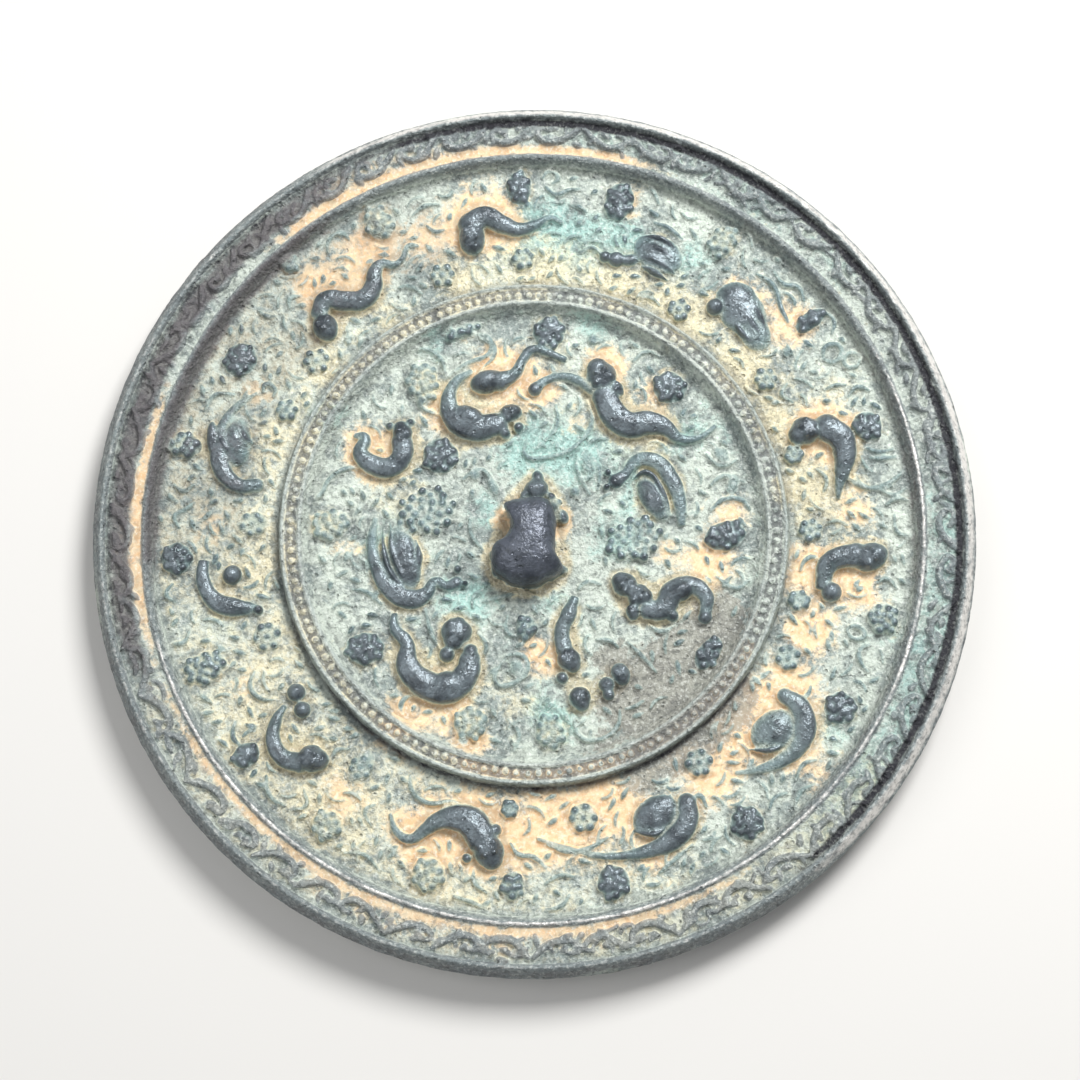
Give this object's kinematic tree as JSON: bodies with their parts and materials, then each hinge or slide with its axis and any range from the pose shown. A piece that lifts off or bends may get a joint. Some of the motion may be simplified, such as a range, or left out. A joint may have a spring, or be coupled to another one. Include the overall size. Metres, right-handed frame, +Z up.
{
  "type": "ancient bronze mirror",
  "caption": "Round cast bronze mirror with a raised rim, beast and grape relief on its back and a pierced crouching beast as its knob.",
  "frame": {"origin": "under the middle of the polished face, on the surface that the mirror lies on", "axes": "+Z up out of the decorated back, +Y towards the head of the knob's beast, X across it"},
  "size_m": [0.17, 0.17, 0.014],
  "materials": {
    "bronze": "cast bronze with blue-green and dark patina and dried soil in the low ground"
  },
  "bodies": {
    "root": {"mirror": "bronze", "knob": "bronze"}
  },
  "joints": []
}
